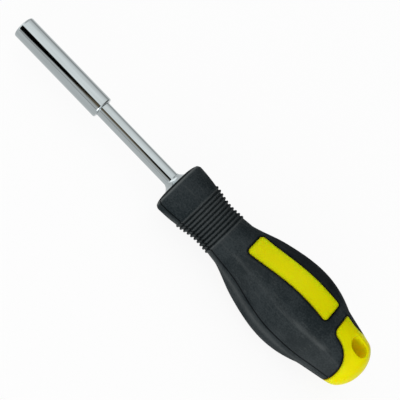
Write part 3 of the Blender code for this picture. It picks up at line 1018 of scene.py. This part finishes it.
class Skin:  # points and faces of one piece while it is put together
    def __init__(self):
        self.points = []
        self.faces = []
        # painted shade and painted light of every point
        self.marks = {"paintedShade": [], "paintedLight": []}

    def add(self, points, paintedShade=0.0, paintedLight=0.0):
        first = len(self.points)
        self.points += [tuple(p) for p in points]
        for mark, values in (("paintedShade", paintedShade), ("paintedLight", paintedLight)):
            self.marks[mark] += list(np.broadcast_to(values, len(points)))
        return np.arange(first, first + len(points))

    def addRing(self, place, radius, paintedShade=0.0, paintedLight=0.0):
        return self.add(ringPoints(place, radius, ringAngles), paintedShade, paintedLight)

    def addUnder(self, place, depth):  # ring this far below the outside
        return self.addRing(place, float(flatRadius(place)) - depth)

    def addSheet(self, sheet, depth, triangles, paintedShade, paintedLight=None):
        numbers = np.full((2, len(sheet["x"])), -1)
        used = np.unique(triangles)
        for lower in (0, 1):
            fresh = used if lower == 0 else used[~sheet["onSide"][used]]
            angle = sheet["angle"][fresh] * (-1 if lower else 1)
            surface = onHandle(sheet["x"][fresh], angle, depth[fresh])
            highlighted = paintedLight(sheet["x"][fresh], angle) if paintedLight else 0.0
            numbers[lower, fresh] = self.add(surface, paintedShade[fresh], highlighted)
        shared = used[sheet["onSide"][used]]
        numbers[1, shared] = numbers[0, shared]
        for lower in (0, 1):
            self.faces += [tuple(t) for t in numbers[lower][triangles]]
        return numbers

    def wall(self, edges, first, second):
        for near, far in zip(first, second):
            self.faces += [(near[i], near[j], far[j], far[i]) for i, j in edges]


def ringOf(numbers, places):  # upper half, then the lower half backwards
    return np.concatenate([numbers[0][places], numbers[1][places[1:-1]][::-1]])


def innerEdges(triangles, ring):  # open edges, without those on the sides and on a ring at the end
    onSide, ring = sheet["onSide"], set(ring)
    return [(i, j) for i, j in openEdges(triangles)
            if not (onSide[i] and onSide[j]) and not (i in ring and j in ring)]


sheet = layOut()
print("sheet laid out:", len(sheet["x"]), "points,", len(sheet["triangles"]), "triangles")


# soft grip

grip = {
    "ribHeight": 0.00075,
    "firstRib": 0.82,  # height of the first and last rib as a share of the others
    "lastRib": 0.8,
    "ribFlat": 3.4,  # higher gives broader ribs and narrower valleys
    "rowsPerRib": 12,
    "valleyShade": 0.45,  # rib height below which the painted shade of the valley begins
    "ribHighlightStart": 0.7,  # rib height above which a highlight is painted
    "ribHighlight": 0.44,
    "ribLean": 0.29,  # painted shade and highlight lie this share of a rib further back, as if lit from the butt side
    "lobeRidge": 49,  # degrees from top and bottom to the painted highlight lines on the lobes
    "lobeSharpness": (50, 240),  # broad and narrow part of a line, higher is narrower
    "lobeHighlight": (0.26, 0.26, 0.14, 0.13, 0.54),  # at five places: two in front, shoulder, belly, end
    "lobeHighlightStart": (0.0050, 0.0090),  # the first two, behind the front of the lobes
    "lobeHighlightEnd": (0.0010, 0.0045),  # strongest and last place behind the lobes
    "throatHighlight": (0.16, 0.0010),  # behind the last rib: share and width
    "shoulderHighlight": 0.07,
    "shoulderHighlightEnds": (0.0024, 0.0072, 0.006),  # from the front of the lobes: start and full, then the fade
    "sideHighlight": 0.145,  # on the sides behind the belly
    "sideHighlightAlong": (-0.004, 0.0135),  # from the widest place: where it starts and where it is full
    "sideHighlightRound": (46, 54),  # degrees from top and bottom
    "farShadeShare": 0.75,  # painted shade: the side towards +Y is darker
    "farShadeRound": (86, 70),  # degrees from that side: where it starts and where it is full
    "farShadeEnd": (0.004, 0.013),  # behind the widest place
    "noseShade": (0.0007, 0.0009),  # painted shade: the front face is darker as far as this
    "noseHighlight": (0.0008, 0.0010, 0.0019),  # painted highlight line round its rim: start, middle and end
    "noseHighlightShare": 1.0,
    "mouthGap": 0.0003,  # round the collar
    "mouthEdge": 0.0004,
    "mouthRows": 4,
    "barrelRows": 14,
    "edgeRows": 4,
    "cavityRows": 12,
    "sharpAngle": 55,
}


def paintedHighlights(x, angle):  # painted highlights on lobes, throat, shoulder and sides, and the painted lit strip below the mould line
    first, second = grip["lobeHighlightStart"]
    strongest, last = grip["lobeHighlightEnd"]
    places = (lobeFront, lobeFront + first, lobeFront + second, shoulderX, bellyX,
              lobeBack + strongest, lobeBack + last)
    along = np.interp(x, places, (0.0, *grip["lobeHighlight"], 0.0))
    fromTop = np.abs(np.mod(angle, math.pi) - math.pi / 2)
    near = np.abs(np.cos(2 * (fromTop - math.radians(grip["lobeRidge"]))))
    lobes = along * sum(near ** sharpness for sharpness in grip["lobeSharpness"]) / 2
    start, full = grip["sideHighlightAlong"]
    sides = ramp(x, bellyX + start, bellyX + full) * ramp(np.degrees(fromTop), *grip["sideHighlightRound"])
    highlighted = np.maximum(lobes, grip["sideHighlight"] * sides)
    throat, gone = grip["throatHighlight"]
    begin, whole, fade = grip["shoulderHighlightEnds"]
    places = (neckBack, neckBack + gone, lobeFront + begin, lobeFront + whole, shoulderX, shoulderX + fade)
    shoulder = grip["shoulderHighlight"]
    highlighted = np.maximum(highlighted, np.interp(x, places, (throat, 0.0, 0.0, shoulder, shoulder, 0.0)))
    return np.maximum(highlighted, partingHighlight(angle, handleRadius(x, angle)))


def farSidePaintedShade(x, angle):  # painted shade over the side towards +Y
    start, end = grip["farShadeEnd"]
    along = ramp(x, lobeFront, shoulderX) * (1 - ramp(x, bellyX + start, bellyX + end))
    return grip["farShadeShare"] * along * ramp(np.degrees(angle), *grip["farShadeRound"])


def noseProfile():  # place, lift, painted shade and painted highlight over ribs and nose, from throat to front face
    profile = []
    shares = {0: grip["firstRib"], handle["ribCount"] - 1: grip["lastRib"]}
    for rib in reversed(range(handle["ribCount"])):
        height = grip["ribHeight"] * shares.get(rib, 1.0)
        for t in np.linspace(1, 0, grip["rowsPerRib"] + 1)[1:]:
            place = noseBack + (rib + t) * handle["ribPitch"]
            shape = 1 - abs(math.cos(math.pi * t)) ** grip["ribFlat"]
            mark = 1 - abs(math.cos(math.pi * (t - grip["ribLean"]))) ** grip["ribFlat"]
            paintedValley = 1 - ramp(mark, 0.0, grip["valleyShade"])
            highlighted = grip["ribHighlight"] * ramp(mark, grip["ribHighlightStart"], 1.0)
            if rib == 0 and t < 0.5:  # the nose runs into the first rib without painted shade or highlight
                paintedValley, highlighted = 0.0, 0.0
            profile.append((place, height * shape, paintedValley, highlighted))
    edges = [knot[0] for knot in handle["edge"]][::-1]
    barrel = np.linspace(noseBack, noseFront + edges[0], grip["barrelRows"])[1:]
    profile += [(place, 0.0, 0.0, 0.0) for place in barrel]
    for start, end in zip(edges, edges[1:]):
        for way in np.linspace(start, end, grip["edgeRows"] + 1)[1:]:
            shade = 1 - ramp(way, *grip["noseShade"])
            highlight = grip["noseHighlightShare"] * peak(way, *grip["noseHighlight"])
            profile.append((noseFront + way, 0.0, shade, highlight))
    return profile


def buildGrip():
    skin = Skin()
    regions = sheet["regions"]
    cover = sheet["triangles"][~(regions["windowOpen"] | regions["tailOpen"])]
    x, angle = sheet["x"], sheet["angle"]
    radius = handleRadius(x, angle)
    groove = partingDepth(x, angle, radius)
    # painted shade beside the seams, in the mould line and on the side towards +Y
    paintedShade = np.maximum(sheet["gripPaintedShade"], partingPaintedShade(x, angle, radius))
    paintedShade = np.maximum(paintedShade, farSidePaintedShade(x, angle))
    outer = skin.addSheet(sheet, sheet["gripLip"] + groove, cover, paintedShade, paintedHighlights)
    plain = np.zeros(len(x))
    inner = skin.addSheet(sheet, plain + handle["gripWall"], cover, plain)
    skin.wall(innerEdges(cover, sheet["front"]), outer, inner)
    rows = [ringOf(outer, sheet["front"])]
    for place, lift, shade, highlight in noseProfile():
        radius = float(flatRadius(place)) + lift
        along = np.full(len(ringAngles), place)
        groove = partingDepth(along, ringAngles, radius)
        # painted shade in the mould line and on the front face, painted highlights and lit strip
        paintedShade = np.maximum(partingPaintedShade(along, ringAngles, radius), shade)
        below = partingHighlight(ringAngles, radius) * ramp(place - noseFront, *parting["highlightFrom"])
        rows.append(skin.addRing(place, radius - groove, paintedShade, np.maximum(below, highlight)))
    mouth = (collarHigh.z - collarLow.z) / 2 + grip["mouthGap"]
    edge = grip["mouthEdge"]
    for place, radius in arcRows(noseFront + edge, mouth + edge, edge, 180, 270, grip["mouthRows"]):
        rows.append(skin.addRing(place, radius))
    cavity = noseFront + handle["gripWall"]
    rows.append(skin.addRing(cavity, mouth))
    for place in np.linspace(cavity, neckBack, grip["cavityRows"])[:-1]:
        rows.append(skin.addUnder(place, handle["gripWall"]))
    rows.append(ringOf(inner, sheet["front"]))
    bridge(rows, skin.faces)
    newPiece("softGrip", "soft_grip", skin.points, skin.faces, rubberFinish,
             grip["sharpAngle"], skin.marks)


buildGrip()
print("grip built")


# core: yellow windows, tail and butt on the body under the grip

core = {
    "bore": 0.00355,
    "boreEnd": 0.0603,  # behind the nose
    "holeRows": (0.02, 0.05, 0.1, 0.15, 0.22, 0.35, 0.5, 0.65, 0.78, 0.85, 0.9, 0.95, 0.98),
    "holeGlow": (0.0, 0.05, 0.09, 0.22),  # shares of the way in, for the painted glow below
    "glowTints": (0.0, 0.5, 0.5, 1.0),  # 0.5 is the colour of the mouth, 1 that of the wall
    "neckRows": 12,
    "domeRows": 12,
    "sharpAngle": 50,
}


def buildCore():
    skin = Skin()
    regions = sheet["regions"]
    showing = regions["window"] | regions["tail"]
    over = sheet["triangles"][showing & ~regions["hole"]]
    under = sheet["triangles"][~showing]
    inset = handle["gripWall"] + handle["coreGap"]
    # painted shade beside the seams, and full painted shade on the hidden part under the grip
    shown = skin.addSheet(sheet, sheet["coreLip"], over, sheet["corePaintedShade"])
    hidden = skin.addSheet(sheet, np.full(len(sheet["x"]), inset), under, np.ones(len(sheet["x"])))
    underEdges = {(min(e), max(e)) for e in openEdges(under)}
    step, hole = [], []
    for edge in innerEdges(over, sheet["back"]):
        (step if (min(edge), max(edge)) in underEdges else hole).append(edge)
    skin.wall(step, shown, hidden)

    chain = dict(hole)  # tube of the hang hole from the upper rim to the lower one
    start = hole[0][0]
    loop = [start]
    while chain[loop[-1]] != start:
        loop.append(chain[loop[-1]])
    top = np.array([skin.points[i] for i in shown[0][loop]])
    bottom = np.array([skin.points[i] for i in shown[1][loop]])
    rows = [shown[0][loop]]
    for t in core["holeRows"]:
        # painted glow on the wall of the hang hole
        glow = np.interp(min(t, 1 - t), core["holeGlow"], core["glowTints"])
        rows.append(skin.add(top * (1 - t) + bottom * t, 0.0, glow))
    bridge(rows + [shown[1][loop]], skin.faces)

    rows = [ringOf(shown, sheet["back"])]  # dome
    for place in buttEnd - layout["lastRing"] * np.linspace(1, 0, core["domeRows"] + 1)[1:-1] ** 2:
        rows.append(skin.addUnder(place, 0.0))
    bridge(rows, skin.faces)
    fan(rows[-1], skin.add([(buttEnd, 0.0, axisZ)])[0], skin.faces)

    rows = [ringOf(hidden, sheet["front"])]  # neck, front face and bore for the shank
    for place in np.linspace(neckBack, coreFront, core["neckRows"])[1:]:
        rows.append(skin.addUnder(place, inset))
    boreEnd = noseFront + core["boreEnd"]
    rows += [skin.addRing(place, core["bore"]) for place in (coreFront, boreEnd)]
    bridge(rows, skin.faces)
    fan(rows[-1], skin.add([(boreEnd, 0.0, axisZ)])[0], skin.faces)
    newPiece("handleCore", "handle_core", skin.points, skin.faces, yellowFinish,
             core["sharpAngle"], skin.marks)


buildCore()
print("core built")


# magnet and spring ring keep their solids

for node, finish in (("bit_magnet", magnetFinish), ("bit_ring", springFinish)):
    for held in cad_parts[node].material_slots:
        held.material = finish
print("magnet and spring ring finished")


# floor, light and camera

floor = {"size": 40.0, "colour": (0.80, 0.80, 0.80), "whiteShare": 0.90}


def buildFloor():
    made, tree = newMaterial("floorFinish")
    plain = addNode(tree, "ShaderNodeBsdfDiffuse", {"Color": (*floor["colour"], 1.0)})
    white = addNode(tree, "ShaderNodeEmission", {"Strength": 1.0})
    path = addNode(tree, "ShaderNodeLightPath").outputs
    seen = reckon("MAXIMUM", path["Is Camera Ray"], path["Is Glossy Ray"])
    seen = reckon("MAXIMUM", seen, path["Is Transmission Ray"])
    share = times(seen, floor["whiteShare"])
    both = addNode(tree, "ShaderNodeMixShader", {0: share, 1: plain.outputs[0], 2: white.outputs[0]})
    addNode(tree, "ShaderNodeOutputMaterial", {"Surface": both.outputs[0]})
    half = floor["size"] / 2
    mesh = bpy.data.meshes.new("floor")
    corners = [(-half, -half, 0), (half, -half, 0), (half, half, 0), (-half, half, 0)]
    mesh.from_pydata(corners, [], [(0, 1, 2, 3)])
    mesh.materials.append(made)
    piece = newObject("floor", mesh)


buildFloor()

studio = {  # degrees run over the top from behind the tool
    "strip": [  # long soft light straight over the tool, which the metal shows: degrees, grey or colour
        (0, 0.50),
        (14, 0.50),
        (25, 0.85),
        (35, 1.06),
        (57, 1.34),
        (80, 1.45),
        (119, 1.48),
        (123, (0.80, 0.78, 0.74)),
        (126, (0.22, 0.17, 0.11)),
        (142, (0.22, 0.17, 0.11)),
        (151, (0.60, 0.58, 0.54)),
        (158, (0.84, 0.84, 0.83)),
        (170, 0.84),
        (175, 0.60),
        (180, 0.38),
    ],
    "stripEdges": (-0.36, -0.24, 0.08, 0.20),  # towards the tip and the butt
    "room": [(0, 0.05), (40, 0.08), (70, 0.34), (95, 1.05), (130, 1.73), (180, 1.44)],  # all round it
    "tipGain": 0.32,  # how much brighter the room is over the tip
    "tipPanel": (-0.80, -0.92, 1.5),  # small light beyond the tip: soft edge, full edge, brightness
    "lowPanel": (-0.26, -0.40, 75, 50, 0.8),  # low behind the tip: edges along, edges in degrees, brightness
    "flag": [  # dark board on the side of the tip: place, lower edge
        (-0.20, 165),
        (-0.165, 154),
        (-0.142, 152),
        (-0.122, 126),
        (-0.075, 126),
        (-0.055, 145),
    ],
    "flagTop": 123.7,
    "flagEnd": (-0.68, -0.52),  # it fades out here, beyond the tip
    "flagSoft": 4,
}


def grey(level):
    return (level, level, level)


def colourRamp(value, stops):
    made = addAfter("ShaderNodeValToRGB", {"Fac": value})
    marks = made.color_ramp.elements
    for k, (degrees, colour) in enumerate(stops):
        mark = marks[k] if k < 2 else marks.new(degrees / 180)
        mark.position = degrees / 180
        mark.color = (*(colour if isinstance(colour, tuple) else grey(colour)), 1.0)
    return made.outputs["Color"]


def flagEdge(x):  # lower edge of the flag in degrees, from place to place
    total = studio["flag"][0][1]
    for (start, before), (end, after) in zip(studio["flag"], studio["flag"][1:]):
        total = plus(spread(x, start, end, 0.0, after - before), total)
    return total


def buildDome():
    world = bpy.data.worlds.new("studio")
    scene.world = world
    world.use_nodes = True
    tree = world.node_tree
    tree.nodes.clear()
    towards = addNode(tree, "ShaderNodeTexCoord").outputs["Generated"]
    x, y, z = addNode(tree, "ShaderNodeSeparateXYZ", {0: towards}).outputs
    degrees = reckon("DEGREES", reckon("ARCTAN2", z, y))
    share = reckon("DIVIDE", degrees, 180.0)
    tip, fullTip, fullButt, butt = studio["stripEdges"]
    beforeButt = spread(x, butt, fullButt)
    inStrip = times(spread(x, tip, fullTip), beforeButt)
    colour = blendColour(inStrip, colourRamp(share, studio["room"]), colourRamp(share, studio["strip"]))
    soft, top = studio["flagSoft"], studio["flagTop"]
    below = reckon("SUBTRACT", flagEdge(x), degrees)
    inFlag = times(spread(below, -soft, soft), spread(degrees, top - soft, top))
    inFlag = times(inFlag, times(spread(x, *studio["flagEnd"]), beforeButt))
    colour = blendColour(inFlag, colour, grey(0.0))
    soft, full, top, fullTop, bright = studio["lowPanel"]
    inPanel = times(spread(x, soft, full), spread(degrees, top, fullTop))
    colour = blendColour(inPanel, colour, grey(bright))
    soft, full, bright = studio["tipPanel"]
    colour = blendColour(spread(x, soft, full), colour, grey(bright))
    gain = reckon("SUBTRACT", 1.0, times(x, studio["tipGain"]))
    background = addNode(tree, "ShaderNodeBackground", {"Color": colour, "Strength": gain})
    addNode(tree, "ShaderNodeOutputWorld", {"Surface": background.outputs[0]})


buildDome()

lamp = {  # broad and soft, in front of the tool
    "azimuth": 22,  # degrees from the front towards the butt
    "height": 10,  # degrees above the floor
    "distance": 1.2,
    "size": 0.8,
    "power": 7.5,
}


def buildLamp():
    data = bpy.data.lights.new("frontLamp", "AREA")
    data.size = lamp["size"]
    data.energy = lamp["power"]
    azimuth, height = math.radians(lamp["azimuth"]), math.radians(lamp["height"])
    level = math.cos(height)
    towards = Vector((math.sin(azimuth) * level, -math.cos(azimuth) * level, math.sin(height)))
    made = newObject("frontLamp", data)
    made.location = Vector((0.0, 0.0, axisZ)) + lamp["distance"] * towards
    made.rotation_euler = towards.to_track_quat("Z", "Y").to_euler()


buildLamp()

photo = {
    "elevation": 53.5,  # degrees above the floor
    "lean": 46.0,  # the tool runs down to the right by this much
    "distance": 0.445,
    "lens": 103.5,
    "sensor": 36.0,
    "clipStart": 0.01,
    "aimX": 0.00231,
    "aimUp": 0.002523,  # above the axis, in the picture before it leans
}


def buildCamera():
    elevation = math.radians(photo["elevation"])
    lean = math.radians(photo["lean"])
    towards = Vector((0.0, -math.cos(elevation), math.sin(elevation)))
    upright = Vector((0.0, math.sin(elevation), math.cos(elevation)))
    along = Vector((1.0, 0.0, 0.0))
    right = math.cos(lean) * along + math.sin(lean) * upright
    up = -math.sin(lean) * along + math.cos(lean) * upright
    place = Vector((photo["aimX"], 0.0, axisZ)) + photo["aimUp"] * upright + photo["distance"] * towards
    data = bpy.data.cameras.new("photoCamera")
    data.lens = photo["lens"]
    data.sensor_width = photo["sensor"]
    data.clip_start = photo["clipStart"]
    camera = newObject("photoCamera", data)
    turn = Matrix((right, up, towards)).transposed().to_4x4()
    camera.matrix_world = Matrix.Translation(place) @ turn
    scene.camera = camera


buildCamera()
print("floor, light and camera set")
